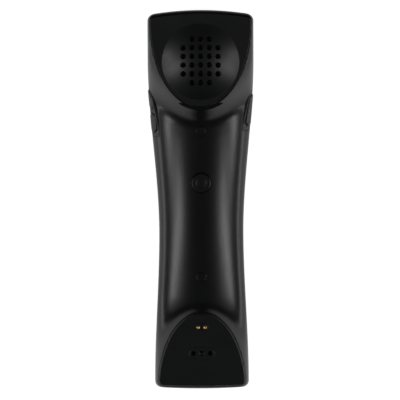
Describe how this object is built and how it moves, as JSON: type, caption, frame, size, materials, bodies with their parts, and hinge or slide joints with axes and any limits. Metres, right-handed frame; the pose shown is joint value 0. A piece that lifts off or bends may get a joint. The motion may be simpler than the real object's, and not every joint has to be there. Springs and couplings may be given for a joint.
{
  "type": "telephone handset",
  "caption": "Curved cordless telephone handset with a dished earpiece, a raised mouthpiece, side keys and a round call key, lying on its back.",
  "frame": {"origin": "on the surface the handset lies on, below the middle of its length and width", "axes": "+Y towards the earpiece end, +Z out of the inner side with the earpiece and mouthpiece, +X to the right of someone looking down on the inner side with the earpiece away from them"},
  "size_m": [0.0576, 0.205, 0.0441],
  "materials": {
    "housing_plastic": "satin black moulding, fine grain",
    "cover_plastic": "matte black moulding",
    "key_rubber": "black silicone rubber",
    "inner_plastic": "black nylon",
    "foam": "closed-cell foam",
    "felt": "acoustic cloth",
    "film": "clear polymer film",
    "steel": "zinc-plated steel",
    "gold": "gold-plated brass",
    "can": "bare aluminium can",
    "board": "glass-epoxy board with solder mask",
    "connector": "ivory nylon",
    "cell": "foil pouch",
    "wire": "insulated wire"
  },
  "bodies": {
    "handset": {"front_housing": "housing_plastic", "rear_housing": "housing_plastic", "earpiece_cover": "cover_plastic", "earpiece_mesh": "felt", "receiver": "inner_plastic", "receiver_diaphragm": "film", "receiver_magnet": "steel", "receiver_gasket": "foam", "receiver_retainer": "inner_plastic", "mouthpiece_cover": "cover_plastic", "contact_block": "inner_plastic", "charging_contact_left": "gold", "charging_contact_right": "gold", "microphone": "can", "microphone_boot": "key_rubber", "call_switch": "inner_plastic", "left_key_bezel": "cover_plastic", "right_key_bezel": "cover_plastic", "volume_up_switch": "inner_plastic", "volume_down_switch": "inner_plastic", "mute_switch": "inner_plastic", "main_board": "board", "radio_shield": "steel", "radio_antenna": "gold", "lead_connectors": "connector", "battery": "cell", "battery_pad": "foam", "battery_lead": "wire", "receiver_lead": "wire", "microphone_lead": "wire", "charging_lead": "wire", "screw_plug_upper": "housing_plastic", "screw_plug_lower": "housing_plastic", "housing_screws": "steel", "board_screws": "steel", "balance_weight": "steel"},
    "call_button": {"call_button": "key_rubber"},
    "volume_up_key": {"volume_up_key": "key_rubber"},
    "volume_down_key": {"volume_down_key": "key_rubber"},
    "mute_key": {"mute_key": "key_rubber"}
  },
  "joints": [
    {"name": "call_press", "type": "slide", "parent": "handset", "child": "call_button", "axis": [0, 0, -1], "range_m": [0, 0.0004], "stiffness_N_per_m": 300},
    {"name": "volume_up_press", "type": "slide", "parent": "handset", "child": "volume_up_key", "axis": [1, 0, 0], "range_m": [0, 0.0004], "stiffness_N_per_m": 300},
    {"name": "volume_down_press", "type": "slide", "parent": "handset", "child": "volume_down_key", "axis": [1, 0, 0], "range_m": [0, 0.0004], "stiffness_N_per_m": 300},
    {"name": "mute_press", "type": "slide", "parent": "handset", "child": "mute_key", "axis": [-1, 0, 0], "range_m": [0, 0.0004], "stiffness_N_per_m": 300}
  ]
}
